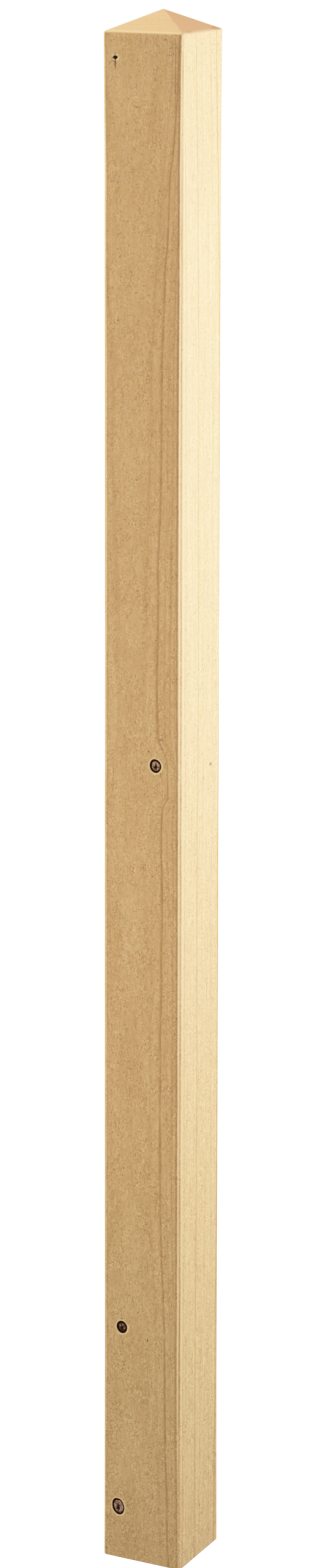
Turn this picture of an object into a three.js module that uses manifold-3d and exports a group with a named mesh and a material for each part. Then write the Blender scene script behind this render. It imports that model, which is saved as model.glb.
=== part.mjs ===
// A square softwood post with a shallow four-way pointed top, standing on its sawn foot.
// Millimetres, +Z up. The origin is the centre of the foot, the front face looks along -Y
// and the right-hand face along +X.
import * as THREE from "three";
import { mergeVertices } from "three/addons/utils/BufferGeometryUtils.js";
import Module from "manifold-3d";

const wasm = await Module();
wasm.setup();

// Driving dimensions
const WIDTH = 100; // planed section, the same both ways
const HEIGHT = 1800; // foot to tip
const POINT_RISE = 24; // tip above the shoulder
const CHAMFER = 4.2; // flat planed along each long corner, measured across a face
const SHOULDER_EASE = 1.5; // how far the sanded edge runs down the faces below the shoulder
const WOOD = 0xd8b688;
const WOOD_ROUGHNESS = 0.75;

// Worked out from them
const HALF_WIDTH = WIDTH / 2;
const SHOULDER = HEIGHT - POINT_RISE;
const POINT_PITCH = Math.atan(POINT_RISE / HALF_WIDTH);
const EASE_PITCH = (POINT_PITCH + Math.PI / 2) / 2;
const EASE_TIP = SHOULDER - SHOULDER_EASE + HALF_WIDTH * Math.tan(EASE_PITCH);
const BELOW_FOOT = 10; // the cutting pyramids start this far under the foot

// A closed three.js geometry as a solid that can be cut.
function solidFrom(geometry) {
  const bare = geometry.clone();
  bare.deleteAttribute("normal");
  bare.deleteAttribute("uv");
  const merged = mergeVertices(bare);
  return new wasm.Manifold(
    new wasm.Mesh({
      numProp: 3,
      vertProperties: merged.attributes.position.array,
      triVerts: new Uint32Array(merged.index.array),
    }),
  );
}

// A cut solid back as a three.js geometry with flat faces.
function geometryFrom(solid) {
  const { vertProperties, triVerts } = solid.getMesh();
  const shared = new THREE.BufferGeometry();
  shared.setAttribute("position", new THREE.BufferAttribute(vertProperties, 3));
  shared.setIndex(new THREE.BufferAttribute(triVerts, 1));
  const flat = shared.toNonIndexed();
  flat.computeVertexNormals();
  return flat;
}

// The planed section, a square with a flat across each of its four corners.
function sectionShape() {
  const centre = new THREE.Vector2();
  const inner = HALF_WIDTH - CHAMFER;
  const corners = [];
  for (let corner = 0; corner < 4; corner++) {
    const turn = (corner * Math.PI) / 2;
    corners.push(new THREE.Vector2(HALF_WIDTH, inner).rotateAround(centre, turn));
    corners.push(new THREE.Vector2(inner, HALF_WIDTH).rotateAround(centre, turn));
  }
  return new THREE.Shape(corners);
}

// The planed length, square at both ends.
function plankGeometry() {
  return new THREE.ExtrudeGeometry(sectionShape(), { depth: HEIGHT, bevelEnabled: false });
}

// A tall four-sided pyramid square to the post: what lies outside it is cut away.
function pyramidGeometry(tip, pitch) {
  const tall = tip + BELOW_FOOT;
  const cornerReach = (tall / Math.tan(pitch)) * Math.SQRT2;
  const pyramid = new THREE.ConeGeometry(cornerReach, tall, 4);
  pyramid.rotateX(Math.PI / 2);
  pyramid.rotateZ(Math.PI / 4);
  pyramid.translate(0, 0, tip - tall / 2);
  return pyramid;
}

// The post: four flats meet in the tip, and a narrow sanded edge runs round the shoulder.
function makePost() {
  const solid = solidFrom(plankGeometry())
    .intersect(solidFrom(pyramidGeometry(HEIGHT, POINT_PITCH)))
    .intersect(solidFrom(pyramidGeometry(EASE_TIP, EASE_PITCH)));
  const wood = new THREE.MeshStandardMaterial({
    color: WOOD,
    roughness: WOOD_ROUGHNESS,
    metalness: 0,
  });
  const post = new THREE.Mesh(geometryFrom(solid), wood);
  post.name = "post";
  return post;
}

const model = new THREE.Group();
model.add(makePost());

export default model;
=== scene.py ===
import math
from collections import namedtuple

import bpy
from bpy.props import FloatProperty, FloatVectorProperty, PointerProperty
from mathutils import Matrix, Vector, noise
from mathutils.geometry import delaunay_2d_cdt


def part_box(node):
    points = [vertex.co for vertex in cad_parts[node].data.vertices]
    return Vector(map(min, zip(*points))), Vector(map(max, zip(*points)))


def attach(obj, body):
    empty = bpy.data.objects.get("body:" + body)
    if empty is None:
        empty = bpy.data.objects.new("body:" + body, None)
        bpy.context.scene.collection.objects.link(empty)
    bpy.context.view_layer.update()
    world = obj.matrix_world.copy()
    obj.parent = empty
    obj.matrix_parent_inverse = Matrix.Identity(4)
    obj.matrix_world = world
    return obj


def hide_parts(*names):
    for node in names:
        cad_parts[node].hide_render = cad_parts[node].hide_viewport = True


# A planed softwood post with chamfered corners and a shallow pointed top, standing on its sawn foot.
# Mesh code works in millimetres, +Z up, with the front face looking along -Y.

bl_info = {
    "name": "Pointed Softwood Post",
    "version": (1, 0, 0),
    "blender": (4, 5, 0),
    "location": "View3D > Sidebar > Post",
    "description": "Builds a planed softwood post with knots and growth rings, and a plain studio for it",
    "category": "Add Mesh",
}

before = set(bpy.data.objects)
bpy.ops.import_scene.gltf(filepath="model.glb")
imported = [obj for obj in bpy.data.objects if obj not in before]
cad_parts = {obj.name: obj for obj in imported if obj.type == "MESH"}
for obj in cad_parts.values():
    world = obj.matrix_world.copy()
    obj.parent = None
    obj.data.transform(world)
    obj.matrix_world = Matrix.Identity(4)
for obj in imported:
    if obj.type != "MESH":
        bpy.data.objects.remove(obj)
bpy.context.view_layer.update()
POST_LOW, POST_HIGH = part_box("post")

MM = 0.001
HALF_WIDTH = round((POST_HIGH.x - POST_LOW.x) / 2 / MM, 3)
FRONT, RIGHT, BACK, LEFT = range(4)

# Growth rings. The stick was sawn beside the pith, which lies behind the back face.
PITH = (-14, 95)
GRAIN_WANDER = (  # height, and how far the rings stand out from their mean radius there
    (0, 3.1), (80, 2.5), (180, 1.6), (280, 1.6), (340, 0.9), (430, -0.1), (630, 0.0), (770, 0.4),
    (865, 0.1), (1010, -1.3), (1195, -0.8), (1230, -0.4), (1405, 0.0), (1515, 1.1), (1545, 2.0),
    (1620, 2.9), (1640, 4.1), (1725, 6.2), (1776, 6.8),
)
GRAIN_RIPPLE = 0.22
GRAIN_RIPPLE_WIDTH = 40
GRAIN_RIPPLE_LENGTH = 70
Ring = namedtuple("Ring", "radius width strength")
GROWTH_RINGS = (
    Ring(20, 1.6, 0.5), Ring(31, 1.5, 0.6), Ring(42, 1.5, 0.5), Ring(52, 1.4, 0.7),
    Ring(62, 1.4, 0.5), Ring(72, 1.3, 0.6), Ring(82.5, 1.4, 0.8), Ring(93.6, 1.2, 0.35),
    Ring(103, 1.0, 0.15), Ring(112, 1.1, 0.25), Ring(123, 1.9, 0.6), Ring(129.5, 0.9, 0.2),
    Ring(136, 0.9, 0.2), Ring(142, 0.7, 0.1), Ring(147.2, 0.5, 0.25), Ring(150, 0.6, 1.0),
    Ring(152.3, 0.45, 0.3), Ring(154.4, 0.6, 0.5), Ring(156.4, 0.45, 0.35),
)

# The flat along each corner is narrowest at the top and widest half way down: height, and width on a face.
CHAMFER_LEGS = (
    (0, 3.0), (60, 3.3), (170, 4.2), (800, 4.3), (1100, 4.6), (1350, 4.7), (1480, 4.0), (1620, 4.0),
    (1740, 2.6), (1776, 1.9),
)
CHAMFER_RAGGED = 0.25
RAGGED_LENGTHS = (90, 23)
CHAMFER_SOFTNESS = 0.7
# The softened bend from a face to a flat: back from the flat's edge and below the face, in bend lengths.
BEND_POINTS = ((1.0, 0.0), (0.25, 0.2), (-math.sqrt(0.5), math.sqrt(0.5)))
CORNER_POINTS = 2 * len(BEND_POINTS) + 1
BURNISH_SPREAD = 1.5
# Where the cutter left the wood dark: height, and how dark it is on the front face beside the flat on its
# right, and along the middle of every flat.
BURNISHED_FRONT = (
    (0, 0.1), (100, 0.15), (260, 0.55), (500, 0.65), (1690, 0.65), (1740, 0.6), (1776, 0.55),
)
BURNISHED_MIDDLE = (
    (0, 0.05), (100, 0.2), (220, 1.0), (320, 1.0), (400, 0.85), (900, 0.95), (1000, 0.6), (1400, 0.9),
    (1600, 0.6), (1690, 0.1),
)
BURNISHED_SIDE = 0.3
# A painted highlight on the flat along each corner: how strong it is from the face on its left to the one on
# its right, how strong on the edge of that face, how much of it the hidden corners have, and how much there
# is of it by height.
CHAMFER_HIGHLIGHT = (0.1, 0.5, 0.5, 0.0, 0.5, 0.8, 0.6)
FACE_SIDE_HIGHLIGHT = 0.5
HIDDEN_HIGHLIGHT = 0.4
HIGHLIGHT_BY_HEIGHT = ((0, 0.4), (120, 0.6), (260, 1.0), (1776, 1.0))
# A painted highlight makes the shoulder and the hips of the point paler than its flats.
PAINTED_EDGE_HIGHLIGHT = 0.4
HIP_HIGHLIGHT_REACH = 1.2
HIP_HIGHLIGHT_LEVEL = 0.6
HIP_HIGHLIGHT_LENGTH = 7

# Mesh spacing
COLUMN_STEP = 2
COLUMN_REACH = 42
EDGE_LINE_PLACE = 1.4
ROW_STEP = 12
NEAR_KNOT_STEP = 4
NEAR_KNOT_REACH = 60
KNOT_MARGIN = 3.5
SHOULDER_STEPS = 5
# The shoulder carries the painted highlight from this step inwards
HIGHLIGHT_SHOULDER_STEP = 3
HIP_SOFTNESS = 0.8
HIP_STEPS = 20
HIP_SIDE_GAP = 0.45
HIP_END_MARGIN = 3.2
ROOF_SPACING = 3
ROOF_MARGIN = 2.6
ROOF_HIP_MARGIN = 1.6
# The softened edge of the foot: how far in and how high each loop lies.
FOOT_EDGE = ((0.0, 0.5), (0.12, 0.15), (0.4, 0.0))
FOOT_MARGIN = 2
KERF_PITCH = 6
KERF_ROWS = 3
KERF_DEPTH = 0.15
KERF_PATCH = (20, 9)

# Knots: face, place across it and height of the middle, width and height, tilt, width of the bark ring,
# how light the heart is, the directions of its drying checks, and how far the rings swing round it.
Knot = namedtuple("Knot", "side across up wide tall tilt bark light checks swing")
KNOTS = (
    Knot(FRONT, 17.1, 948.4, 14.8, 15.8, 10, 2.5, 0.7, (-100, 85), 4.2),
    Knot(FRONT, -25.3, 280.3, 13.8, 14.6, 8, 2.7, 0.1, (-85, 110), 1.5),
    Knot(FRONT, -30.0, 62.1, 15.6, 20.3, 14, 2.2, 0.68, (-80, 95), 1.5),
    Knot(FRONT, -34.3, 1747.5, 5.6, 4.4, 0, 1.4, 0.0, (-90, 90), 0.8),
)
SIDE_KNOTS = (
    Knot(LEFT, -20, 932, 9.0, 10.4, 0, 1.2, 0.5, (-100, 25, 140), 1.5),
    Knot(LEFT, 14, 264, 11.0, 12.2, 8, 1.5, 0.35, (-70, 40, 160), 1.5),
)

# The branches rise from the pith: how steeply, and how much smaller they are on the back face.
BRANCH_RISE = 0.3
BACK_KNOT_SHARE = (PITH[1] - HALF_WIDTH) / (PITH[1] + HALF_WIDTH)
BACK_KNOT_SIZE = 0.5
BACK_STAR_SIZE = 0.7
# A knot narrower than this is a ragged star.
STAR_KNOT_WIDTH = 6

# The rings swing out below a knot, partly sharply and partly gently, and back in above it: the share of the
# swing, and between which heights over the knot's middle.
SWING_REACH = 17
SWING_BELOW = ((0.8, -48, -34), (0.2, -88, -46))
SWING_ABOVE = (2, 32)

# A knot's outline, in shares of its size, and its relief, in millimetres below the face
OUTLINE_WOBBLE = 0.06
STAR_WOBBLE = 0.5
KNOT_LIP = 0.06
LIP_END = 1.25
BARK_WALL = 0.93
BARK_DEPTH = 0.75
BARK_GRIT = 0.12
BARK_RAGGED = 0.1
RAGGED_INSIDE = 0.9
HEART_RISE = 0.6
HEART_ROUNDING = 0.1
CHECK_DEPTH = 0.9

# The open core of a heart and the drying checks that run out from it, in shares of the knot's half width
CORE_REACH = 0.36
CORE_UNEVEN = 0.3
CORE_OPEN = 0.6
CORE_SQUEEZE = (1.5, 0.8)
CORE_DROP = 0.35
CHECK_REACH = 0.55
CHECK_REACH_VARIES = 0.4
CHECK_CLOSES = 0.7
CHECK_WIDTH = 0.13
CHECK_TAPER = 0.8
CHECK_EDGE = (0.4, 1.3)
CHECK_WANDER = 0.06
CHECK_OPENING = 0.7

# Pale wood round a knot: where it fades, in millimetres beyond the outline
HALO_FADES = (1.3, 2.3)
HALO_UNEVEN = 0.7

# Loops of points round a knot: first from the lattice in to the apron, then in shares of the outline
APRON_STEPS = 5
APRON_SHARE = 1.12
RIM_SHARES = (APRON_SHARE, 1.05, 1.0, 0.965, BARK_WALL)
BARK_STEPS = 3
HEART_STEPS = 9
SHARE_SLACK = 0.01

# Small dark marks on the faces: side, across, up, width and height, and how dark.
Mark = namedtuple("Mark", "side across up wide tall dark")
MARKS = (
    Mark(FRONT, 24.4, 979.4, 6.0, 2.0, 0.55), Mark(FRONT, 24.6, 984.8, 4.0, 1.6, 0.3),
    Mark(FRONT, 23.2, 938.2, 1.0, 7.0, 0.6), Mark(FRONT, 8.4, 964.1, 1.6, 1.8, 0.7),
    Mark(FRONT, 34.7, 1133.3, 1.8, 2.6, 0.6), Mark(FRONT, 7.9, 270.4, 1.8, 3.6, 0.95),
    Mark(FRONT, -30.9, 1453.5, 1.8, 2.4, 0.7), Mark(FRONT, -26.6, 1502.8, 1.6, 2.2, 0.5),
    Mark(FRONT, -43.2, 1478.7, 1.6, 2.4, 0.5), Mark(FRONT, -23.2, 471.2, 1.8, 2.4, 0.7),
    Mark(FRONT, 13.1, 819.6, 1.6, 2.2, 0.7), Mark(FRONT, -9.5, 1298.3, 1.6, 2.2, 0.5),
    Mark(FRONT, -25.2, 290.6, 3.0, 1.8, 0.6), Mark(FRONT, -26.2, 296.0, 1.0, 9.0, 0.35),
    Mark(FRONT, -26.2, 268.0, 1.0, 6.0, 0.3), Mark(FRONT, -34.3, 1742.0, 2.0, 12.0, 0.9),
    Mark(FRONT, -34.6, 1750.9, 1.7, 4.4, 0.7), Mark(FRONT, -37.4, 1746.8, 3.4, 1.7, 0.75),
    Mark(FRONT, -31.6, 1748.6, 3.0, 1.6, 0.65), Mark(FRONT, -36.6, 1743.6, 1.6, 2.4, 0.6),
    Mark(RIGHT, 37.0, 1777.6, 22.0, 4.0, 0.35), Mark(RIGHT, 44.0, 1778.2, 9.0, 3.0, 0.6),
    Mark(RIGHT, 31.0, 1778.8, 5.0, 2.6, 0.45), Mark(FRONT, 40.7, 1737.0, 1.7, 96.0, 0.42),
    Mark(RIGHT, -30.0, 1777.4, 14.0, 2.4, 0.25),
    Mark(FRONT, -17.6, 66.5, 1.4, 2.2, 0.65), Mark(FRONT, -41.4, 62.0, 1.8, 1.4, 0.4),
    Mark(RIGHT, 23.6, 938.8, 6.2, 4.8, 0.8), Mark(RIGHT, 24.8, 930.0, 2.6, 12.0, 0.3),
    Mark(RIGHT, 6.4, 925.8, 5.0, 3.4, 0.4), Mark(BACK, -22.0, 1320.0, 2.4, 3.0, 0.5),
    Mark(BACK, 30.0, 640.0, 2.0, 2.6, 0.5), Mark(LEFT, 18.0, 1240.0, 2.2, 2.8, 0.5),
)

SKIN_NOTES = ("ring", "halo", "check", "tone", "edge")
PLANED, END_GRAIN, BARK, HEART = range(4)


def along(profile, at):
    """The value of a profile of (place, value) pairs at one place, on straight lines between them."""
    before = profile[0]
    for after in profile:
        if at <= after[0]:
            span = after[0] - before[0]
            return after[1] if span == 0 else before[1] + (after[1] - before[1]) * (at - before[0]) / span
        before = after
    return before[1]


def ease(value, start, end):
    """0 before start, 1 past end, with a smooth rise between."""
    share = min(max((value - start) / (end - start), 0.0), 1.0)
    return share * share * (3 - 2 * share)


def ripple(*place):
    return noise.noise(Vector(place))


def side_axes(side):
    """The directions out of a face and across it, to the right as one looks at it."""
    turn = side * math.pi / 2
    return (math.sin(turn), -math.cos(turn)), (math.cos(turn), math.sin(turn))


def on_side(side, across, depth, half):
    """The plan place of a point on a face, so far below its plane."""
    out, right = side_axes(side)
    reach = half - depth
    return out[0] * reach + right[0] * across, out[1] * reach + right[1] * across


def branch_on_back(knot):
    """The same branch where it crosses the back face, thinner and lower because it rises from the pith."""
    share = BACK_KNOT_SHARE
    x = PITH[0] + (knot.across - PITH[0]) * share
    drop = BRANCH_RISE * (PITH[1] + HALF_WIDTH) * (1 - share)
    size = BACK_KNOT_SIZE if knot.wide > STAR_KNOT_WIDTH else BACK_STAR_SIZE
    return knot._replace(
        side=BACK, across=-x, up=knot.up - drop, wide=knot.wide * size, tall=knot.tall * size,
        bark=0.8, light=0.5, swing=0.0,
    )


ALL_KNOTS = KNOTS + SIDE_KNOTS + tuple(branch_on_back(knot) for knot in KNOTS)


def knot_swing(knot, x, y, z, half):
    """How far the rings are pushed out where they pass a knot."""
    if knot.swing == 0:
        return 0.0
    middle = on_side(knot.side, knot.across, 0, half)
    sideways = math.hypot(x - middle[0], y - middle[1]) / SWING_REACH
    rise = z - knot.up
    height = sum(share * ease(rise, start, end) for share, start, end in SWING_BELOW)
    height *= 1 - ease(rise, *SWING_ABOVE)
    return knot.swing * math.exp(-sideways * sideways / 2) * height


def ring_radius(x, y, z, half):
    """The distance from the pith, as the rings run."""
    radius = math.hypot(x - PITH[0], y - PITH[1]) - along(GRAIN_WANDER, z)
    radius -= GRAIN_RIPPLE * ripple(x / GRAIN_RIPPLE_WIDTH, y / GRAIN_RIPPLE_WIDTH, z / GRAIN_RIPPLE_LENGTH)
    return radius - sum(knot_swing(knot, x, y, z, half) for knot in KNOTS)


def chamfer_leg(corner, z):
    """The width of a flat on a face at one height, which wavers up the post."""
    seed = corner * 9.1
    slow, quick = RAGGED_LENGTHS
    ragged = CHAMFER_RAGGED * (ripple(seed, 0.5, z / slow) + 0.5 * ripple(seed, 3.5, z / quick))
    return along(CHAMFER_LEGS, z) + ragged


def chamfer_profile(leg):
    """One corner from face to face: how far each point lies from the sharp corner along either face."""
    bend = CHAMFER_SOFTNESS * math.tan(math.pi / 8)
    spread = min(BURNISH_SPREAD / math.sqrt(2), leg / 2 - bend)
    start = [(leg + back * bend, depth * bend) for back, depth in BEND_POINTS]
    middle = [(leg / 2 + shift, leg / 2 - shift) for shift in (spread, 0, -spread)]
    return start + middle + [(b, a) for a, b in reversed(start)]


def columns_of(reach):
    """Places across a face between its two chamfers."""
    lattice = range(-COLUMN_REACH, COLUMN_REACH + 1, COLUMN_STEP)
    edge = [reach - 2 * EDGE_LINE_PLACE, reach - EDGE_LINE_PLACE, reach]
    return [-place for place in reversed(edge)] + list(lattice) + edge


EDGE_COLUMNS = 3
COLUMN_COUNT = len(columns_of(COLUMN_REACH + 2))
SIDE_COUNT = COLUMN_COUNT + CORNER_POINTS
MIDDLE_COLUMN = COLUMN_COUNT + CORNER_POINTS // 2
BURNISHED_COLUMNS = (1, COLUMN_COUNT - 2)


def burnished(at, z):
    """How dark the cutter left a place of the loop: in lines beside each flat and along its middle."""
    side, column = divmod(at, SIDE_COUNT)
    if column == MIDDLE_COLUMN:
        return along(BURNISHED_MIDDLE, z)
    if side == FRONT and column == BURNISHED_COLUMNS[1]:
        return along(BURNISHED_FRONT, z)
    return BURNISHED_SIDE if column in BURNISHED_COLUMNS else 0.0


def painted_chamfer_highlight(at, z):
    """How strong the painted highlight is at a place of the loop: on the flat across each corner and the
    edge of the face beside it.
    """
    side, column = divmod(at, SIDE_COUNT)
    share = along(HIGHLIGHT_BY_HEIGHT, z)
    if column >= COLUMN_COUNT:
        return share * CHAMFER_HIGHLIGHT[column - COLUMN_COUNT] * (1.0 if side == FRONT else HIDDEN_HIGHLIGHT)
    return share * FACE_SIDE_HIGHLIGHT if column == 0 and side == RIGHT else 0.0


def column_index(side, across):
    """Where a place of the 2 mm lattice stands in a loop round the post."""
    return side * SIDE_COUNT + EDGE_COLUMNS + (across + COLUMN_REACH) // COLUMN_STEP


def section_loop(half, z, inset=0.0):
    """Plan places round the post at one height, counterclockwise from the front face's left edge."""
    places = []
    shrink = (half - inset) / half
    for side in range(4):
        left = chamfer_profile(chamfer_leg(side, z))
        right = chamfer_profile(chamfer_leg((side + 1) % 4, z))
        columns = columns_of(half - right[0][0])
        columns[:EDGE_COLUMNS] = columns_of(half - left[0][0])[:EDGE_COLUMNS]
        points = [(across, 0.0) for across in columns]
        points += [(half - back, depth) for back, depth in right[1:-1]]
        places += [on_side(side, across * shrink, depth * shrink + inset, half) for across, depth in points]
    return places


class Skin:
    """The surface of the post as it is put together, with what the wood is like at each point."""

    def __init__(self, half):
        self.half = half
        self.points = []
        self.notes = {name: [] for name in SKIN_NOTES}
        self.faces = []
        self.finishes = []

    def point(self, x, y, z, **notes):
        self.points.append((x, y, z))
        for name in SKIN_NOTES:
            self.notes[name].append(notes.get(name, 0.0))
        self.notes["ring"][-1] = ring_radius(x, y, z, self.half)
        return len(self.points) - 1

    def face(self, corners, finish):
        self.faces.append(corners)
        self.finishes.append(finish)

    def loop(self, places, heights, pale=0.0):
        """A closed loop round the post; where it carries the painted highlight of the shoulder, nothing
        shows of what the cutter left.
        """
        made = []
        for at, ((x, y), z) in enumerate(zip(places, heights)):
            # The dark lines the cutter left, less the painted highlight on the flats along the corners
            edge = burnished(at, z) - painted_chamfer_highlight(at, z)
            made.append(self.point(x, y, z, edge=edge * (1 - pale), halo=pale))
        return made

    def band(self, outer, inner, finish, holes=()):
        """Faces between two closed loops, apart from holes; the inner may have twice as many points."""
        count = len(outer)
        for at in range(count):
            if at in holes:
                continue
            a, b = outer[at], outer[(at + 1) % count]
            if len(inner) == count:
                self.face((a, b, inner[(at + 1) % count], inner[at]), finish)
                continue
            first, middle, last = (inner[(2 * at + step) % len(inner)] for step in range(3))
            self.face((a, b, middle), finish)
            self.face((a, middle, first), finish)
            self.face((b, last, middle), finish)

    def to_mesh(self, name, materials):
        """A Blender mesh in metres of the points that faces use, with the notes as attributes."""
        used = sorted({corner for face in self.faces for corner in face})
        place = {old: new for new, old in enumerate(used)}
        mesh = bpy.data.meshes.new(name)
        mesh.from_pydata(
            [Vector(self.points[old]) * MM for old in used], [],
            [[place[corner] for corner in face] for face in self.faces],
        )
        for material in materials:
            mesh.materials.append(material)
        mesh.polygons.foreach_set("material_index", self.finishes)
        mesh.polygons.foreach_set("use_smooth", [True] * len(self.faces))
        for note in SKIN_NOTES:
            values = [self.notes[note][old] for old in used]
            mesh.attributes.new(note, "FLOAT", "POINT").data.foreach_set("value", values)
        mesh.update()
        mesh.validate()
        return mesh


def knot_hole(knot):
    """The lattice rectangle round a knot that its own finer mesh fills: left, right, bottom, top."""
    middle = (COLUMN_STEP * round(knot.across / COLUMN_STEP), COLUMN_STEP * round(knot.up / COLUMN_STEP))
    reach_across = COLUMN_STEP * math.ceil((knot.wide / 2 + KNOT_MARGIN) / COLUMN_STEP)
    reach_up = COLUMN_STEP * math.ceil((knot.tall / 2 + KNOT_MARGIN) / COLUMN_STEP)
    left = max(middle[0] - reach_across, -COLUMN_REACH)
    right = min(middle[0] + reach_across, COLUMN_REACH)
    return left, right, middle[1] - reach_up, middle[1] + reach_up


def row_heights(top):
    """Heights of the loops up the post, closer together at the knots."""
    holes = sorted((knot_hole(knot)[2], knot_hole(knot)[3]) for knot in ALL_KNOTS)
    rows = []
    z = COLUMN_STEP
    while z < top - COLUMN_STEP:
        rows.append(z)
        if any(low <= z < high for low, high in holes):
            z += COLUMN_STEP
            continue
        near = any(abs(z - knot.up) < NEAR_KNOT_REACH for knot in KNOTS)
        step = NEAR_KNOT_STEP if near else ROW_STEP
        next_hole = min((low for low, high in holes if low > z), default=z + step)
        z += min(step, next_hole - z)
    return rows


def round_ripple(angle, waves, seed):
    """Unevenness round a circle that meets itself after a full turn, finer with more waves."""
    return ripple(math.cos(angle) * waves, math.sin(angle) * waves, seed)


def knot_size(knot):
    """A knot's mean half width."""
    return (knot.wide + knot.tall) / 4


def heart_share(knot):
    """Where a knot's bark gives way to its heart, as a share of the outline."""
    return 1 - knot.bark / knot_size(knot)


def knot_outline(knot, angle):
    """The distance from a knot's middle to its edge, in one direction."""
    turned = angle - math.radians(knot.tilt)
    across = math.cos(turned) / (knot.wide / 2)
    up = math.sin(turned) / (knot.tall / 2)
    wobble = OUTLINE_WOBBLE * round_ripple(angle, 1.3, knot.up)
    if knot.wide < STAR_KNOT_WIDTH:
        wobble += STAR_WOBBLE * round_ripple(angle, 2.8, knot.up)
    return (1 + wobble) / math.hypot(across, up)


def knot_check(knot, angle, distance):
    """How open the heart is there: 1 in the middle of a drying check, 0 on sound wood."""
    size = knot_size(knot)
    squeezed = math.hypot(CORE_SQUEEZE[0] * math.cos(angle), CORE_SQUEEZE[1] * math.sin(angle))
    lean = distance * squeezed * (1 + CORE_DROP * math.sin(angle))
    core = size * (CORE_REACH + CORE_UNEVEN * round_ripple(angle, 1.9, knot.up + 5))
    opening = 1 - ease(lean, CORE_OPEN * core, core)
    for number, direction in enumerate(knot.checks):
        aside = math.sin(angle - math.radians(direction)) * distance
        ahead = math.cos(angle - math.radians(direction)) * distance
        if ahead <= 0:
            continue
        length = size * (CHECK_REACH + CHECK_REACH_VARIES * abs(ripple(number * 3.7, knot.up, 0.5)))
        width = CHECK_WIDTH * size * (1 - ease(ahead, 0, length) * CHECK_TAPER)
        wander = CHECK_WANDER * size * ripple(ahead / size * 3, number * 5.3, knot.across)
        inside = 1 - ease(abs(aside + wander), CHECK_EDGE[0] * width, CHECK_EDGE[1] * width)
        closing = 1 - ease(ahead, CHECK_CLOSES * length, length)
        opening = max(opening, CHECK_OPENING * inside * closing)
    return opening


def knot_depth(knot, share, angle, open_check):
    """How far a knot's surface lies below the face: a bark ring round a slightly raised heart."""
    heart = heart_share(knot)
    grit = BARK_GRIT * round_ripple(angle, 9 * share, knot.up)
    if share > 1:
        return KNOT_LIP * (1 - ease(share, 1.0, LIP_END))
    wall = ease(share, 1.0, BARK_WALL) if share > BARK_WALL else 1.0
    if share > heart:
        return KNOT_LIP + wall * (BARK_DEPTH + grit)
    rise = ease(share, heart, heart - HEART_ROUNDING) if share > heart - HEART_ROUNDING else 1.0
    return KNOT_LIP + BARK_DEPTH + grit - rise * HEART_RISE + CHECK_DEPTH * open_check


def knot_border(knot):
    """The lattice places round a knot's rectangle, counterclockwise as one looks at the face."""
    left, right, low, high = knot_hole(knot)
    border = [(across, low) for across in range(left, right, COLUMN_STEP)]
    border += [(right, up) for up in range(low, high, COLUMN_STEP)]
    border += [(across, high) for across in range(right, left, -COLUMN_STEP)]
    border += [(left, up) for up in range(high, low, -COLUMN_STEP)]
    return border


def with_halves(angles):
    """Directions round a circle, with one more half way to each next one."""
    fine = []
    for at, angle in enumerate(angles):
        gap = (angles[(at + 1) % len(angles)] - angle) % (2 * math.pi)
        fine += [angle, angle + gap / 2]
    return fine


def knot_loop(skin, knot, angles, distances, shares):
    """A closed loop round a knot's middle, on its relief."""
    made = []
    for angle, distance, share in zip(angles, distances, shares):
        across = knot.across + distance * math.cos(angle)
        up = knot.up + distance * math.sin(angle)
        open_check = knot_check(knot, angle, distance) if share < heart_share(knot) else 0.0
        x, y = on_side(knot.side, across, knot_depth(knot, share, angle, open_check), skin.half)
        beyond = distance - knot_outline(knot, angle)
        uneven = 1 + HALO_UNEVEN * round_ripple(angle, 2.4, knot.up + 3)
        halo = 1 - ease(beyond, HALO_FADES[0] * uneven, HALO_FADES[1] * uneven) if share >= 1 else 0.0
        made.append(skin.point(x, y, up, halo=halo, check=open_check, tone=knot.light))
    return made


def fill_knot(skin, knot, loops, rows):
    """The fine round mesh of one knot, from the lattice round it to its middle."""
    border = knot_border(knot)
    outer = [loops[rows.index(up)][column_index(knot.side, across)] for across, up in border]
    angles = [math.atan2(up - knot.up, across - knot.across) for across, up in border]
    reaches = [math.hypot(up - knot.up, across - knot.across) for across, up in border]
    outlines = [knot_outline(knot, angle) for angle in angles]
    for step in range(1, APRON_STEPS):
        near = step / APRON_STEPS
        distances = [
            (1 - near) * reach + near * APRON_SHARE * edge for reach, edge in zip(reaches, outlines)
        ]
        shares = [distance / edge for distance, edge in zip(distances, outlines)]
        inner = knot_loop(skin, knot, angles, distances, shares)
        skin.band(outer, inner, PLANED)
        outer = inner
    angles = with_halves(angles)
    outlines = [knot_outline(knot, angle) for angle in angles]
    ragged = [1 + BARK_RAGGED * round_ripple(angle, 2.6, knot.up + 7) for angle in angles]
    heart = heart_share(knot)
    shares = list(RIM_SHARES)
    shares += [BARK_WALL + (heart - BARK_WALL) * step / BARK_STEPS for step in range(1, BARK_STEPS + 1)]
    shares += [heart * (1 - step / HEART_STEPS) for step in range(1, HEART_STEPS)]
    finish = PLANED
    for share in shares:
        distances = [share * edge for edge in outlines]
        if share < RAGGED_INSIDE:
            distances = [distance * uneven for distance, uneven in zip(distances, ragged)]
        inner = knot_loop(skin, knot, angles, distances, [share] * len(angles))
        skin.band(outer, inner, finish)
        finish = PLANED if share > 1 else BARK if share > heart + SHARE_SLACK else HEART
        outer = inner
    x, y = on_side(knot.side, knot.across, knot_depth(knot, 0, 0, 1), skin.half)
    middle = skin.point(x, y, knot.up, check=1.0, tone=knot.light)
    for at, corner in enumerate(outer):
        skin.face((corner, outer[(at + 1) % len(outer)], middle), HEART)


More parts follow.
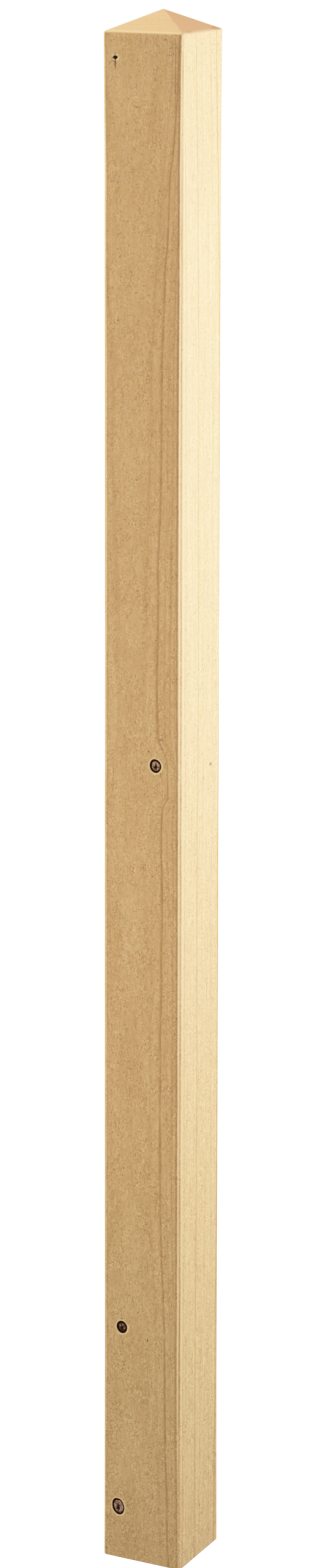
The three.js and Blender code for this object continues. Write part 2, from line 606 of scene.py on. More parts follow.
def fill_plan(skin, rim, inner_places, hips, height_at, downward=False):
    """Fills the end inside a closed loop of points, through the given plan places."""
    places = [Vector(skin.points[corner][:2]) for corner in rim]
    places += [Vector(place) for place in inner_places]
    edges = [(at, (at + 1) % len(rim)) for at in range(len(rim))] + hips
    made = delaunay_2d_cdt(places, edges, [], 1, 1e-5)
    corners = []
    for place, sources in zip(made[0], made[3]):
        source = min(sources) if sources else len(places)
        if source < len(rim):
            corners.append(rim[source])
            continue
        # The roof carries a painted highlight along its hips
        pale = 0.0 if downward else hip_highlight(place.x, place.y)
        corners.append(skin.point(place.x, place.y, height_at(place.x, place.y), halo=pale))
    for face in made[2]:
        order = tuple(corners[index] for index in face)
        skin.face(order[::-1] if downward else order, END_GRAIN)


def roof_height(x, y, height, pitch):
    """The four flats of the point, with the hips between them just broken."""
    ax, ay = abs(x), abs(y)
    reach = (ax + ay + math.hypot(ax - ay, HIP_SOFTNESS)) / 2
    return height - pitch * (reach - HIP_SOFTNESS / 2)


def hip_highlight(x, y):
    """A painted highlight along the point's hips, stronger in some places than in others."""
    on_hip = 1 - ease(abs(abs(x) - abs(y)), 0.0, HIP_HIGHLIGHT_REACH)
    return PAINTED_EDGE_HIGHLIGHT * on_hip * (HIP_HIGHLIGHT_LEVEL + ripple(x / HIP_HIGHLIGHT_LENGTH, y / HIP_HIGHLIGHT_LENGTH, 1.5))


def roof_plan(half, rim_count):
    """Plan places inside the roof, and the hip lines as pairs of place numbers."""
    places = []
    count = int((half - ROOF_MARGIN) // ROOF_SPACING)
    for column in range(-count, count + 1):
        for row in range(-count, count + 1):
            x, y = column * ROOF_SPACING, row * ROOF_SPACING
            if abs(abs(x) - abs(y)) > ROOF_HIP_MARGIN:
                places.append((x, y))
    tip = rim_count + len(places)
    places.append((0, 0))
    hips = []
    for corner, (to_x, to_y) in enumerate(((1, -1), (1, 1), (-1, 1), (-1, -1))):
        previous = tip
        for step in range(1, HIP_STEPS + 1):
            reach = (half - HIP_END_MARGIN) * step / HIP_STEPS
            hips.append((previous, rim_count + len(places)))
            previous = rim_count + len(places)
            places.append((to_x * reach, to_y * reach))
            for gap in (-HIP_SIDE_GAP, HIP_SIDE_GAP):
                places.append((to_x * reach + gap, to_y * reach - gap * to_x * to_y))
        hips.append((previous, corner * SIDE_COUNT + MIDDLE_COLUMN))
    return places, hips


def foot_plan(half):
    """Plan places inside the foot, close enough together along y for its saw marks."""
    step = KERF_PITCH / KERF_ROWS
    columns = int((half - FOOT_MARGIN) // KERF_PITCH)
    rows = int((half - FOOT_MARGIN) // step)
    return [
        (column * KERF_PITCH, row * step)
        for column in range(-columns, columns + 1)
        for row in range(-rows, rows + 1)
    ]


def kerf(x, y):
    """The height of the sawn foot over the ground."""
    ridge = 0.5 - 0.5 * math.cos(2 * math.pi * y / KERF_PITCH)
    return KERF_DEPTH * ridge * (0.6 + 0.4 * ripple(x / KERF_PATCH[0], y / KERF_PATCH[1], 4.4))


def add_sides(skin, rows):
    """The four faces and the flats along the corners, with the knots let in; gives back the loops."""
    loops = [skin.loop(section_loop(skin.half, z), [z] * (4 * SIDE_COUNT)) for z in rows]
    holes = {}
    for knot in ALL_KNOTS:
        left, right, low, high = knot_hole(knot)
        columns = range(column_index(knot.side, left), column_index(knot.side, right))
        for z in rows:
            if low <= z < high:
                holes.setdefault(z, set()).update(columns)
    for z, lower, upper in zip(rows, loops, loops[1:]):
        skin.band(lower, upper, PLANED, holes.get(z, ()))
    for knot in ALL_KNOTS:
        fill_knot(skin, knot, loops, rows)
    return loops


def add_point(skin, outer, height, point_rise, shoulder_ease):
    """The sanded edge round the shoulder, and the four flats inside it."""
    pitch = point_rise / skin.half
    turn = math.pi / 2 - math.atan(pitch)
    bend = shoulder_ease / math.tan(turn / 2)
    for step in range(SHOULDER_STEPS + 1):
        angle = turn * step / SHOULDER_STEPS
        inset = bend * (1 - math.cos(angle))
        drop = shoulder_ease + pitch * inset - bend * math.sin(angle)
        places = section_loop(skin.half, height - point_rise, inset)
        heights = [roof_height(x, y, height, pitch) - drop for x, y in places]
        # The inner steps of the shoulder carry the painted highlight
        inner = skin.loop(places, heights, PAINTED_EDGE_HIGHLIGHT if step >= HIGHLIGHT_SHOULDER_STEP else 0.0)
        skin.band(outer, inner, PLANED if step == 0 else END_GRAIN)
        outer = inner
    places, hips = roof_plan(skin.half, len(outer))
    fill_plan(skin, outer, places, hips, lambda x, y: roof_height(x, y, height, pitch))


def add_foot(skin, outer):
    """The softened edge of the foot, and its sawn face."""
    for inset, z in FOOT_EDGE:
        inner = skin.loop(section_loop(skin.half, 0, inset), [z] * len(outer))
        skin.band(inner, outer, PLANED)
        outer = inner
    fill_plan(skin, outer, foot_plan(skin.half), [], kerf, downward=True)


def build_skin(sizes):
    """The whole surface of the post: its faces and chamfered corners, knots, pointed top and foot."""
    height = sizes.height / MM
    point_rise = sizes.point_rise / MM
    skin = Skin(sizes.width / 2 / MM)
    loops = add_sides(skin, row_heights(height - point_rise))
    add_point(skin, loops[-1], height, point_rise, sizes.shoulder_ease / MM)
    add_foot(skin, loops[0])
    return skin


# Shader building: sizes of grains are in millimetres, along x, y and z.

FIBRE_GRAIN = (1.8, 1.8, 22.0)
FLECK_GRAIN = (1.3, 1.3, 1.8)
BUSY_GRAIN = (11.0, 11.0, 18.0)
PATCH_GRAIN = (2.7, 2.7, 5.0)
WARMTH_GRAIN = (7.0, 7.0, 12.0)
SPECK_GRAIN = (1.5, 1.5, 2.1)
CROWD_GRAIN = (16.0, 16.0, 40.0)
SHAKE_GRAIN = (1.5, 1.5, 1.5)
WAVER_GRAIN = (6.0, 6.0, 45.0)
BROKEN_GRAIN = (9.0, 9.0, 16.0)
BAND_GRAIN = (1.9, 160.0, 1.0)
DASH_GRAIN = (3.0, 3.0, 7.0)
CRUMB_GRAIN = (0.9, 0.9, 0.9)
MOTTLE_GRAIN = (2.6, 2.6, 2.6)

# A latewood line darkens over this many of its widths, and ends within this many.
LINE_RISE = 1.25
LINE_FALL = 0.6
LINE_WAVER = 0.22
LINE_BROKEN = (0.45, 1.25)
# How busy the figure is at the foot and at the top, and in its quiet and its busy patches
BUSY_UP_THE_POST = (1.02, 0.65)
BUSY_IN_PATCHES = (0.35, 1.6)
# A pin knot fades between these shares of its half size, on a ragged edge.
MARK_EDGE = (1.25, 0.6)
MARK_RAGGED = 0.35
# Resin specks show where their grain passes this level. Outside their patches it is higher, and where they
# crowd it is lower: ever more between these depths under the tip, and from left to right.
SPECK_LEVEL = 0.676
SPECK_EDGE = 0.06
SPECK_PATCHES = 0.05
SPECK_CROWDING = 0.042
CROWDED_BELOW_TIP = (110, 45)
CROWDED_ACROSS = (-30.0, 40.0)
CROWDED_LEFT = 0.2

# How strongly parts of the figure show on flat-sawn and on quarter-sawn faces
FIBRE_SHOWS = (0.05, 0.1)
FLECK_SHOWS = (1.0, 1.35)
BAND_SHOWS = (0.06, 0.13)
BAND_WARMS = (0.1, 0.8)
LINES_SHOW = (1.0, 1.4)
# How much of the figure's light or shade reaches the red, green and blue there
FIGURE_TINT = ((1.0, 1.0), (1.3, 1.1), (1.8, 0.8))
# Towards the foot the colour is cooler, with weaker warm patches: between these heights.
LOW_WOOD = (650.0, 200.0)
LOW_WARMTH = 0.5
# Painted shade on the end grain's flats, by which way they face: paler on those that face the front or the
# back, darker and pinker on those that face sideways
FLATS_TURN = (0.05, 0.35)
FLATS_PAINTED_SHADE = (-0.4, 0.7)
# The share of a burnished line that is left where it is faintest
DASH_FAINTEST = 0.6
HALO_AND_HIGHLIGHT_STRENGTH = 0.95
HEART_MOTTLE = 0.5
CHECK_SHADE_STRENGTH = 0.97

# The wood's roughness and relief, and how much a fleck, a line, a fibre or a mark changes them
WOOD_ROUGHNESS = 0.72
FLECK_ROUGHNESS = 0.06
LINE_ROUGHNESS = -0.12
WOOD_SHINE = 0.3
FIBRE_RELIEF = 0.5
LINE_RELIEF = 1.2
MARK_RELIEF = -3.0
WOOD_BUMP = 0.03 * MM
BARK_BUMP = 0.2 * MM
HEART_BUMP = 0.15 * MM

# One finish's figure: how long its grains are, how strong its lines, flecks, patches and specks are, and
# whether its flats get painted shade by which way they face, as the end grain's do, rather than warmth from
# its growth bands.
Figure = namedtuple("Figure", "length lines flecks patches specks flats_differ")
PLANED_FIGURE = Figure(1.0, 0.95, 0.2, 0.06, 0.55, False)
END_FIGURE = Figure(0.12, 0.35, 0.03, 0.03, 0.0, True)


class Nodes:
    """Adds nodes to a shader tree and links them, and gives back the output that the next one needs."""

    def __init__(self, tree):
        self.tree = tree

    def add(self, kind, **settings):
        made = self.tree.nodes.new(kind)
        for name, value in settings.items():
            setattr(made, name, value)
        return made

    def feed(self, socket, value):
        if isinstance(value, bpy.types.NodeSocket):
            self.tree.links.new(value, socket)
        else:
            socket.default_value = value

    def math(self, operation, *values, clamp=False):
        made = self.add("ShaderNodeMath", operation=operation, use_clamp=clamp)
        for socket, value in zip(made.inputs, values):
            self.feed(socket, value)
        return made.outputs[0]

    def vector(self, operation, *values):
        made = self.add("ShaderNodeVectorMath", operation=operation)
        for socket, value in zip(made.inputs, values):
            self.feed(socket, value)
        return made.outputs["Value" if operation == "LENGTH" else "Vector"]

    def times(self, first, second, clamp=False):
        return self.math("MULTIPLY", first, second, clamp=clamp)

    def parts(self, vector):
        """The x, y and z of a vector."""
        made = self.add("ShaderNodeSeparateXYZ")
        self.feed(made.inputs[0], vector)
        return made.outputs

    def joined(self, *values):
        """A vector or a colour of up to three values."""
        made = self.add("ShaderNodeCombineXYZ")
        for socket, value in zip(made.inputs, values):
            self.feed(socket, value)
        return made.outputs[0]

    def noise(self, position, grain, detail=2.0, roughness=0.5):
        """Noise of mean 0.5 with grains of the given size."""
        made = self.add("ShaderNodeTexNoise", noise_dimensions="3D")
        self.feed(made.inputs["Vector"], self.vector("DIVIDE", position, grain))
        for name, value in (("Scale", 1.0), ("Detail", detail), ("Roughness", roughness)):
            made.inputs[name].default_value = value
        return made.outputs["Fac"]

    def spread(self, value, low, high, to_low=0.0, to_high=1.0, smooth=False):
        made = self.add("ShaderNodeMapRange", interpolation_type="SMOOTHSTEP" if smooth else "LINEAR")
        for name, given in zip(
            ("Value", "From Min", "From Max", "To Min", "To Max"), (value, low, high, to_low, to_high)
        ):
            self.feed(made.inputs[name], given)
        return made.outputs["Result"]

    def swing(self, noise, low, high, reach=1.0):
        """Noise between two levels, stretched to run from -reach to reach."""
        return self.spread(noise, low, high, -reach, reach)

    def blend(self, factor, first, second, mode="MIX"):
        made = self.add("ShaderNodeMix", data_type="RGBA", blend_type=mode)
        self.feed(made.inputs["Factor"], factor)
        self.feed(made.inputs[6], first)
        self.feed(made.inputs[7], second)
        return made.outputs[2]

    def note(self, name):
        return self.add("ShaderNodeAttribute", attribute_name=name).outputs["Fac"]

    def group(self, tree, **values):
        made = self.add("ShaderNodeGroup", node_tree=tree)
        for name, value in values.items():
            self.feed(made.inputs[name.replace("_", " ")], value)
        return made.outputs


def new_group(name, inputs, outputs):
    """An empty shader node group with named inputs (name, kind, default) and outputs (name, kind)."""
    tree = bpy.data.node_groups.new(name, "ShaderNodeTree")
    for label, kind, default in inputs:
        socket = tree.interface.new_socket(label, in_out="INPUT", socket_type="NodeSocket" + kind)
        if default is not None:
            socket.default_value = default
    for label, kind in outputs:
        tree.interface.new_socket(label, in_out="OUTPUT", socket_type="NodeSocket" + kind)
    nodes = Nodes(tree)
    given = nodes.add("NodeGroupInput").outputs
    result = nodes.add("NodeGroupOutput").inputs
    return tree, nodes, given, result


def growth_ring_group():
    """Latewood lines, which darken slowly towards the bark and end sharply, and the bands between them."""
    tree, nodes, given, result = new_group(
        "Growth rings",
        (("Position", "Vector", None), ("Radius", "Float", 0.0)),
        (("Latewood", "Float"), ("Band", "Float")),
    )
    position = given["Position"]
    waver = nodes.noise(position, WAVER_GRAIN, detail=3.0)
    radius = nodes.math("ADD", given["Radius"], nodes.swing(waver, 0.2, 0.8, LINE_WAVER))
    total = 0.0
    for ring in GROWTH_RINGS:
        beyond = nodes.math("SUBTRACT", radius, ring.radius)
        inward = nodes.math("DIVIDE", beyond, -LINE_RISE * ring.width)
        outward = nodes.math("DIVIDE", beyond, LINE_FALL * ring.width)
        line = nodes.math("SUBTRACT", 1.0, nodes.math("MAXIMUM", inward, outward), clamp=True)
        total = nodes.math("MULTIPLY_ADD", line, ring.strength, total)
    broken = nodes.noise(position, BROKEN_GRAIN, detail=4.0, roughness=0.7)
    nodes.feed(result["Latewood"], nodes.times(total, nodes.spread(broken, 0.3, 0.7, *LINE_BROKEN)))
    unrolled = nodes.joined(radius, nodes.parts(position)[2])
    band = nodes.noise(unrolled, BAND_GRAIN, detail=3.0, roughness=0.6)
    nodes.feed(result["Band"], nodes.swing(band, 0.3, 0.7))
    return tree


def fibre_group():
    """The close figure of the wood: fibres, flecks, faint patches, broad warm ones and resin specks."""
    tree, nodes, given, result = new_group(
        "Wood fibre",
        (("Position", "Vector", None), ("Length", "Float", 1.0)),
        tuple((name, "Float") for name in ("Fibre", "Fleck", "Patch", "Warmth", "Speck")),
    )
    position = nodes.vector("DIVIDE", given["Position"], nodes.joined(1.0, 1.0, given["Length"]))
    across, _, height = nodes.parts(position)
    top = POST_HIGH.z / MM
    busy = nodes.spread(height, 0.0, top, *BUSY_UP_THE_POST)
    fibre = nodes.noise(position, FIBRE_GRAIN, detail=3.0, roughness=0.6)
    nodes.feed(result["Fibre"], nodes.swing(fibre, 0.3, 0.7))
    fleck = nodes.swing(nodes.noise(position, FLECK_GRAIN, detail=1.0), 0.25, 0.75)
    here = nodes.spread(nodes.noise(position, BUSY_GRAIN), 0.35, 0.65, *BUSY_IN_PATCHES)
    nodes.feed(result["Fleck"], nodes.times(fleck, nodes.times(here, busy)))
    patch = nodes.swing(nodes.noise(position, PATCH_GRAIN, detail=1.0), 0.3, 0.7)
    nodes.feed(result["Patch"], nodes.times(patch, busy))
    warmth = nodes.noise(position, WARMTH_GRAIN, detail=1.0, roughness=0.6)
    nodes.feed(result["Warmth"], nodes.spread(warmth, 0.35, 0.65))
    grit = nodes.noise(position, SPECK_GRAIN, detail=0.5)
    sparse = nodes.noise(position, CROWD_GRAIN, detail=1.0)
    sparse = nodes.spread(sparse, 0.35, 0.65, SPECK_PATCHES, 0.0)
    low, high = (top - below for below in CROWDED_BELOW_TIP)
    crowded = nodes.spread(height, low, high, 0.0, SPECK_CROWDING)
    crowded = nodes.times(crowded, nodes.spread(across, *CROWDED_ACROSS, CROWDED_LEFT, 1.0))
    level = nodes.math("ADD", nodes.math("SUBTRACT", sparse, crowded), SPECK_LEVEL)
    nodes.feed(result["Speck"], nodes.spread(nodes.math("SUBTRACT", grit, level), 0.0, SPECK_EDGE))
    return tree


def mark_group():
    """Pin knots and resin specks, each a soft-edged dark spot round its own place."""
    tree, nodes, given, result = new_group(
        "Pin knots", (("Position", "Vector", None),), (("Dark", "Float"),)
    )
    position = given["Position"]
    shake = nodes.swing(nodes.noise(position, SHAKE_GRAIN), 0.3, 0.7, MARK_RAGGED)
    total = 0.0
    for mark in MARKS:
        x, y = on_side(mark.side, mark.across, 0, HALF_WIDTH)
        away = nodes.vector("SUBTRACT", position, (x, y, mark.up))
        scaled = nodes.vector("DIVIDE", away, (mark.wide / 2, mark.wide / 2, mark.tall / 2))
        distance = nodes.math("ADD", nodes.vector("LENGTH", scaled), shake)
        spot = nodes.spread(distance, *MARK_EDGE, 0.0, mark.dark, smooth=True)
        total = nodes.math("MAXIMUM", spot, total)
    nodes.feed(result["Dark"], total)
    return tree


class Finishes:
    """The post's materials, made from the colours in the panel."""

    def __init__(self, colours):
        self.colours = colours
        self.rings = growth_ring_group()
        self.fibre = fibre_group()
        self.marks = mark_group()

    def colour(self, name):
        return (*getattr(self.colours, name), 1.0)

    def start(self, name, roughness, specular):
        material = bpy.data.materials.new(name)
        material.use_nodes = True
        nodes = Nodes(material.node_tree)
        shader = material.node_tree.nodes["Principled BSDF"]
        shader.inputs["Roughness"].default_value = roughness
        shader.inputs["Specular IOR Level"].default_value = specular
        place = nodes.add("ShaderNodeTexCoord").outputs["Object"]
        position = nodes.vector("DIVIDE", place, (MM, MM, MM))
        return material, nodes, shader, position

    def bump(self, nodes, shader, height, depth):
        made = nodes.add("ShaderNodeBump")
        made.inputs["Strength"].default_value = 1.0
        made.inputs["Distance"].default_value = depth
        nodes.feed(made.inputs["Height"], height)
        nodes.feed(shader.inputs["Normal"], made.outputs["Normal"])

    def quarter_sawn(self, nodes):
        """1 on the right and left faces, which cut across the rings, and 0 on the front and the back."""
        normal = nodes.add("ShaderNodeTexCoord").outputs["Normal"]
        return nodes.math("ABSOLUTE", nodes.parts(normal)[0])

    def plain_wood(self, nodes, names, warmth, height):
        """The wood before its figure; the names are of its plain, low and warm colours. On the end grain the
        warmth also carries painted shade on the flats that face sideways.
        """
        plain, lower, warm = (self.colour(name) for name in names)
        low = nodes.spread(height, *LOW_WOOD, smooth=True)
        warmth = nodes.times(warmth, nodes.spread(low, 0.0, 1.0, 1.0, LOW_WARMTH))
        return nodes.blend(warmth, nodes.blend(low, plain, lower), warm)

    def edged(self, nodes, colour, position):
        """A colour with what the cutter rubbed, the painted highlight on the flats along the corners, and
        the pale wood by knots with the painted highlight along the point's edges.
        """
        edge = nodes.note("edge")
        dashes = nodes.noise(position, DASH_GRAIN, detail=3.0, roughness=0.7)
        rubbed = nodes.times(edge, nodes.spread(dashes, 0.35, 0.6, DASH_FAINTEST, 1.0))
        colour = nodes.blend(nodes.math("MAXIMUM", rubbed, 0.0), colour, self.colour("burnish"))
        # The painted highlight on the flats along the corners
        colour = nodes.blend(nodes.times(edge, -1.0, clamp=True), colour, self.colour("chamfer_highlight_colour"))
        # Pale wood by the knots, and the painted highlight along the point's shoulder and hips
        return nodes.blend(nodes.times(nodes.note("halo"), HALO_AND_HIGHLIGHT_STRENGTH), colour, self.colour("halo"))

    def wood(self, name, colours, strength):
        """Softwood of the planed faces or of the sawn ends."""
        material, nodes, shader, position = self.start(name, WOOD_ROUGHNESS, WOOD_SHINE)
        figure = nodes.group(self.fibre, Position=position, Length=strength.length)
        rings = nodes.group(self.rings, Position=position, Radius=nodes.note("ring"))
        dark = nodes.group(self.marks, Position=position)["Dark"]
        quarter = self.quarter_sawn(nodes)

        def by_face(flat_sawn, quarter_sawn):
            return nodes.spread(quarter, 0.0, 1.0, flat_sawn, quarter_sawn)

        # On the end grain, painted shade: the flats that face sideways are darker and pinker, those that
        # face the front or the back paler
        if strength.flats_differ:
            streak_and_flat_shade = nodes.spread(quarter, *FLATS_TURN, *FLATS_PAINTED_SHADE)
        else:
            streak_and_flat_shade = nodes.times(rings["Band"], by_face(*BAND_WARMS))
        warmth = nodes.math("ADD", figure["Warmth"], streak_and_flat_shade, clamp=True)
        colour = self.plain_wood(nodes, colours, warmth, nodes.parts(position)[2])

        fleck = nodes.times(figure["Fleck"], by_face(*FLECK_SHOWS))
        light = nodes.times(figure["Fibre"], by_face(*FIBRE_SHOWS))
        light = nodes.math("MULTIPLY_ADD", fleck, strength.flecks, light)
        light = nodes.math("MULTIPLY_ADD", figure["Patch"], strength.patches, light)
        light = nodes.math("ADD", nodes.times(rings["Band"], by_face(*BAND_SHOWS)), light)
        tint = [nodes.math("MULTIPLY_ADD", light, by_face(*shares), 1.0) for shares in FIGURE_TINT]
        colour = nodes.blend(1.0, colour, nodes.joined(*tint), "MULTIPLY")
        specks = nodes.times(figure["Speck"], strength.specks)
        colour = nodes.blend(specks, colour, self.colour("pin_knot"))

        latewood = nodes.times(rings["Latewood"], strength.lines)
        latewood = nodes.times(latewood, by_face(*LINES_SHOW), clamp=True)
        colour = nodes.blend(latewood, colour, self.colour("latewood"))
        colour = self.edged(nodes, colour, position)
        nodes.feed(shader.inputs["Base Color"], nodes.blend(dark, colour, self.colour("pin_knot")))

        rough = nodes.math("MULTIPLY_ADD", figure["Fleck"], FLECK_ROUGHNESS, WOOD_ROUGHNESS)
        rough = nodes.math("MULTIPLY_ADD", latewood, LINE_ROUGHNESS, rough)
        nodes.feed(shader.inputs["Roughness"], rough)
        relief = nodes.math("MULTIPLY_ADD", figure["Fibre"], FIBRE_RELIEF, figure["Fleck"])
        relief = nodes.math("MULTIPLY_ADD", latewood, LINE_RELIEF, relief)
        relief = nodes.math("MULTIPLY_ADD", dark, MARK_RELIEF, relief)
        self.bump(nodes, shader, relief, WOOD_BUMP)
        return material

    def bark(self):
        """The dead bark that rings a loose knot."""
        material, nodes, shader, position = self.start("knot bark", 1.0, 0.0)
        crumb = nodes.spread(nodes.noise(position, CRUMB_GRAIN, detail=4.0, roughness=0.7), 0.3, 0.7)
        colour = nodes.blend(crumb, self.colour("bark"), self.colour("bark_light"))
        nodes.feed(shader.inputs["Base Color"], colour)
        self.bump(nodes, shader, crumb, BARK_BUMP)
        return material

    def heart(self):
        """The end of the branch inside its bark, with painted shade in its open core and drying checks."""
        material, nodes, shader, position = self.start("knot heart", 0.8, 0.1)
        mottle = nodes.noise(position, MOTTLE_GRAIN)
        tone = nodes.math("ADD", nodes.swing(mottle, 0.38, 0.62, HEART_MOTTLE), nodes.note("tone"))
        tone = nodes.spread(tone, 0.0, 1.0)
        colour = nodes.blend(tone, self.colour("heart_dark"), self.colour("heart_light"))
        # Painted shade in the open core and checks, in the bark's colour
        check_shade = nodes.times(nodes.note("check"), CHECK_SHADE_STRENGTH)
        nodes.feed(shader.inputs["Base Color"], nodes.blend(check_shade, colour, self.colour("bark")))
        self.bump(nodes, shader, mottle, HEART_BUMP)
        return material

    def all(self):
        """In the order of the finish numbers."""
        return (
            self.wood("planed softwood", ("planed", "planed_foot", "planed_warm"), PLANED_FIGURE),
            self.wood("end grain softwood", ("end_grain", "end_grain", "end_grain_warm_and_shade"), END_FIGURE),
            self.bark(),
            self.heart(),
        )


# Values in the panel

def length_property(name, description, default):
    return FloatProperty(
        name=name, description=description, default=default, min=0.0, subtype="DISTANCE", unit="LENGTH"
    )


def angle_property(name, description, degrees):
    return FloatProperty(
        name=name, description=description, default=math.radians(degrees), subtype="ANGLE", unit="ROTATION"
    )


def place_property(name, description, default):
    return FloatVectorProperty(
        name=name, description=description, default=default, subtype="TRANSLATION", unit="LENGTH"
    )


def power_property(name, description, default):
    return FloatProperty(
        name=name, description=description, default=default, min=0.0, subtype="POWER", unit="POWER"
    )


def strength_property(name, description, default):
    return FloatProperty(name=name, description=description, default=default, min=0.0, unit="NONE")


def colour_property(name, description, default):
    return FloatVectorProperty(
        name=name, description=description, default=default, min=0.0, max=1.0, subtype="COLOR", size=3
    )


class PostSizes(bpy.types.PropertyGroup):
    width: length_property("Width", "Planed width of the square section", POST_HIGH.x - POST_LOW.x)
    height: length_property("Height", "From the foot to the tip", POST_HIGH.z)
    point_rise: length_property("Point rise", "Tip above the shoulder", 24 * MM)
    shoulder_ease: length_property("Shoulder ease", "How far the sanded edge runs down a face", 1.5 * MM)


class PostColours(bpy.types.PropertyGroup):
    planed: colour_property("Planed wood", "Plain wood on the faces", (0.755, 0.50, 0.242))
    planed_foot: colour_property("Planed wood low down", "Plain wood towards the foot", (0.742, 0.52, 0.255))
    planed_warm: colour_property("Warm patches", "Pinker wood in broad patches", (0.76, 0.482, 0.25))
    end_grain: colour_property("End grain", "Wood on the point and the foot", (0.765, 0.475, 0.262))
    # Pinker end grain, which also gives the painted shade on the flats of the point that face sideways
    end_grain_warm_and_shade: colour_property("Warm end grain", "Pinker end grain", (0.785, 0.43, 0.232))
    latewood: colour_property("Latewood", "The dark line of each growth ring", (0.47, 0.27, 0.105))
    burnish: colour_property("Burnished line", "Wood that the cutter rubbed dark", (0.34, 0.20, 0.095))
    # Colour of the painted highlight on the flats along the corners
    chamfer_highlight_colour: colour_property("Fresh cut", "Cleaner wood on the flats along the corners", (1.0, 0.71, 0.41))
    # Colour of the pale wood next to a knot, and of the painted highlight along the point's shoulder and
    # hips
    halo: colour_property("Halo", "Pale wood next to a knot", (1.0, 0.76, 0.43))
    pin_knot: colour_property("Pin knot", "Pin knots and specks", (0.175, 0.095, 0.034))
    # Also the painted shade in a knot's open core and checks
    bark: colour_property("Bark", "The ring round a knot, and open checks", (0.014, 0.004, 0.001))
    bark_light: colour_property("Worn bark", "Crumbs of the bark ring", (0.05, 0.016, 0.009))
    heart_dark: colour_property("Dark heart", "Resinous knot wood", (0.085, 0.036, 0.022))
    heart_light: colour_property("Light heart", "Sound knot wood", (0.62, 0.40, 0.30))


class StudioValues(bpy.types.PropertyGroup):
    bearing: angle_property("Bearing", "Camera's turn round the post from its front face", 26.90)
    distance: length_property("Distance", "Camera to the post's axis, level", 4.705)
    eye_height: length_property("Eye height", "Camera above the ground", 2.099)
    swing: angle_property("Swing", "Camera turned aside from the axis", 0.052)
    tilt: angle_property("Tilt", "Camera looking down", 7.77)
    roll: angle_property("Roll", "Camera leaning", 0.093)
    lens: FloatProperty(name="Lens", description="Focal length", default=96.92, subtype="DISTANCE_CAMERA")
    shift: FloatProperty(name="Shift", description="Lens shift along the long side", default=-0.3)
    key_place: place_property("Key place", "Middle of the key light", (1.523, 0.223, 1.425))
    key_power: power_property("Key power", "Large soft light at the right", 55.8)
    fill_place: place_property("Fill place", "Middle of the fill light", (-2.06, -0.58, 3.54))
    fill_power: power_property("Fill power", "High soft light at the left", 152)
    front_place: place_property("Front place", "Middle of the front light", (-0.37, -1.69, 0.69))
    front_power: power_property("Front power", "Low soft light in front", 14.6)
    back_place: place_property("Back place", "Middle of the light behind", (-1.5, 5.0, 0.9))
    back_power: power_property("Back power", "Weak light for the hidden sides", 150)
    key_colour: colour_property("Key colour", "Colour of the key light", (1.0, 0.965, 0.985))
    warm: colour_property("Warm light", "Colour of the fill and front lights", (1.0, 0.91, 0.77))
    ambient: strength_property("Ambient", "Even light from all round", 0.16)
    backdrop: strength_property("Backdrop", "How bright the background looks", 3.5)
    floor_glow: strength_property("Floor glow", "Light given off by the floor", 2.6)


# The studio

SENSOR = 36.0
FLOOR_REACH = 60.0
KEY_SIZE = (0.5, 1.2)
FILL_SIZE = (1.2, 1.2)
FILL_AIM = 1.6
FRONT_SIZE = (1.0, 0.8)
BACK_SIZE = (2.0, 2.0)
BACK_AIM = 0.9
WHITE_LEVEL = 2.5
SHOULDER_START = 0.4
CURVE_STEPS = 14
CURVE_CROWDING = 1.5
TRUE_STEPS = 5


def film_tone(light):
    """A film-like shoulder: true up to SHOULDER_START, then ever flatter up to white."""
    if light <= SHOULDER_START:
        return light
    room = 1 - SHOULDER_START
    return SHOULDER_START + room * (1 - math.exp(-(light - SHOULDER_START) / room))


def set_film(scene):
    view = scene.view_settings
    view.view_transform = "Standard"
    view.look = "None"
    view.use_curve_mapping = True
    mapping = view.curve_mapping
    mapping.initialize()
    mapping.white_level = (WHITE_LEVEL,) * 3
    points = mapping.curves[3].points
    for step in range(1, TRUE_STEPS):
        light = SHOULDER_START * step / TRUE_STEPS
        points.new(light / WHITE_LEVEL, light / film_tone(WHITE_LEVEL))
    span = WHITE_LEVEL - SHOULDER_START
    for step in range(CURVE_STEPS):
        light = SHOULDER_START + span * (step / CURVE_STEPS) ** CURVE_CROWDING
        points.new(light / WHITE_LEVEL, film_tone(light) / film_tone(WHITE_LEVEL))
    mapping.update()


def add_object(name, data):
    made = bpy.data.objects.new(name, data)
    bpy.context.scene.collection.objects.link(made)
    return made


def add_soft_light(name, place, size, power, aim_height, colour=(1, 1, 1)):
    """A soft light that faces the post's axis at one height and isn't seen itself."""
    light = bpy.data.lights.new(name, "AREA")
    light.shape = "RECTANGLE"
    light.size, light.size_y = size
    light.energy = power
    light.color = colour
    made = add_object(name, light)
    made.location = place
    direction = Vector((0, 0, aim_height)) - Vector(place)
    made.rotation_euler = direction.to_track_quat("-Z", "Y").to_euler()
    made.visible_camera = False


def add_lights(studio):
    """The key and the front light shine level, the fill and the back light slope to the post."""
    key, fill, front, back = studio.key_place, studio.fill_place, studio.front_place, studio.back_place
    add_soft_light("key light", key, KEY_SIZE, studio.key_power, key[2], studio.key_colour)
    add_soft_light("fill light", fill, FILL_SIZE, studio.fill_power, FILL_AIM, studio.warm)
    add_soft_light("front light", front, FRONT_SIZE, studio.front_power, front[2], studio.warm)
    add_soft_light("back light", back, BACK_SIZE, studio.back_power, BACK_AIM)


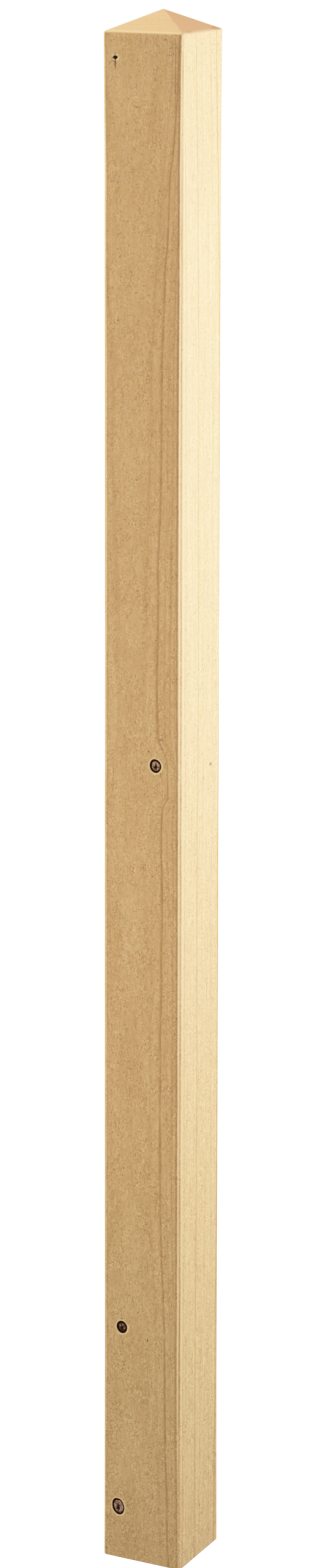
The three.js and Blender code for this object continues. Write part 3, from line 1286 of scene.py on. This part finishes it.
def add_camera(studio):
    lens = bpy.data.cameras.new("camera")
    lens.lens = studio.lens
    lens.sensor_width = SENSOR
    lens.shift_y = studio.shift
    lens.clip_end = 4 * FLOOR_REACH
    camera = add_object("camera", lens)
    place = Vector((math.sin(studio.bearing), -math.cos(studio.bearing), 0)) * studio.distance
    place.z = studio.eye_height
    turn = Matrix.Rotation(studio.bearing + studio.swing, 4, "Z")
    turn @= Matrix.Rotation(math.pi / 2 - studio.tilt, 4, "X")
    turn @= Matrix.Rotation(studio.roll, 4, "Z")
    camera.matrix_world = Matrix.Translation(place) @ turn
    bpy.context.scene.camera = camera


def add_floor(studio):
    """A wide pale floor that takes no part in the light on the post."""
    corners = [(x * FLOOR_REACH, y * FLOOR_REACH, 0) for x, y in ((-1, -1), (1, -1), (1, 1), (-1, 1))]
    mesh = bpy.data.meshes.new("floor")
    mesh.from_pydata(corners, [], [(0, 1, 2, 3)])
    material = bpy.data.materials.new("pale floor")
    material.use_nodes = True
    shader = material.node_tree.nodes["Principled BSDF"]
    shader.inputs["Base Color"].default_value = (0.85, 0.85, 0.85, 1)
    shader.inputs["Roughness"].default_value = 0.9
    shader.inputs["Specular IOR Level"].default_value = 0.0
    shader.inputs["Emission Color"].default_value = (1, 1, 1, 1)
    shader.inputs["Emission Strength"].default_value = studio.floor_glow
    mesh.materials.append(material)
    floor = add_object("floor", mesh)
    floor.visible_diffuse = False
    floor.visible_glossy = False


def set_world(studio):
    world = bpy.data.worlds.new("studio")
    world.use_nodes = True
    nodes = Nodes(world.node_tree)
    background = world.node_tree.nodes["Background"]
    seen = nodes.add("ShaderNodeLightPath").outputs["Is Camera Ray"]
    nodes.feed(background.inputs["Color"], (1, 1, 1, 1))
    nodes.feed(background.inputs["Strength"], nodes.spread(seen, 0, 1, studio.ambient, studio.backdrop))
    bpy.context.scene.world = world


# Operators and panel

class POST_OT_make_post(bpy.types.Operator):
    """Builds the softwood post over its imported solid"""

    bl_idname = "softwood_post.make_post"
    bl_label = "Make Post"

    def execute(self, context):
        scene = context.scene
        skin = build_skin(scene.post_sizes)
        post = add_object("softwood_post", skin.to_mesh("softwood_post", Finishes(scene.post_colours).all()))
        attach(post, "root")
        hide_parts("post")
        return {"FINISHED"}


class POST_OT_make_studio(bpy.types.Operator):
    """Sets out the floor, the lights, the film and the camera"""

    bl_idname = "softwood_post.make_studio"
    bl_label = "Make Studio"

    def execute(self, context):
        studio = context.scene.post_studio
        add_camera(studio)
        add_floor(studio)
        set_world(studio)
        add_lights(studio)
        set_film(context.scene)
        return {"FINISHED"}


class POST_PT_panel(bpy.types.Panel):
    bl_idname = "POST_PT_panel"
    bl_label = "Softwood Post"
    bl_space_type = "VIEW_3D"
    bl_region_type = "UI"
    bl_category = "Post"

    def draw(self, context):
        scene = context.scene
        for heading, values in (
            ("Sizes", scene.post_sizes), ("Colours", scene.post_colours), ("Studio", scene.post_studio)
        ):
            box = self.layout.box()
            box.label(text=heading)
            for name in values.bl_rna.properties.keys():
                if name not in ("rna_type", "name"):
                    box.prop(values, name)
        self.layout.operator(POST_OT_make_post.bl_idname)
        self.layout.operator(POST_OT_make_studio.bl_idname)


CLASSES = (PostSizes, PostColours, StudioValues, POST_OT_make_post, POST_OT_make_studio, POST_PT_panel)


def register():
    for made in CLASSES:
        bpy.utils.register_class(made)
    bpy.types.Scene.post_sizes = PointerProperty(type=PostSizes)
    bpy.types.Scene.post_colours = PointerProperty(type=PostColours)
    bpy.types.Scene.post_studio = PointerProperty(type=StudioValues)


def unregister():
    del bpy.types.Scene.post_studio
    del bpy.types.Scene.post_colours
    del bpy.types.Scene.post_sizes
    for made in reversed(CLASSES):
        bpy.utils.unregister_class(made)


def main():
    register()
    bpy.ops.softwood_post.make_studio()
    bpy.ops.softwood_post.make_post()
    bpy.context.view_layer.update()


if __name__ == "__main__":
    main()
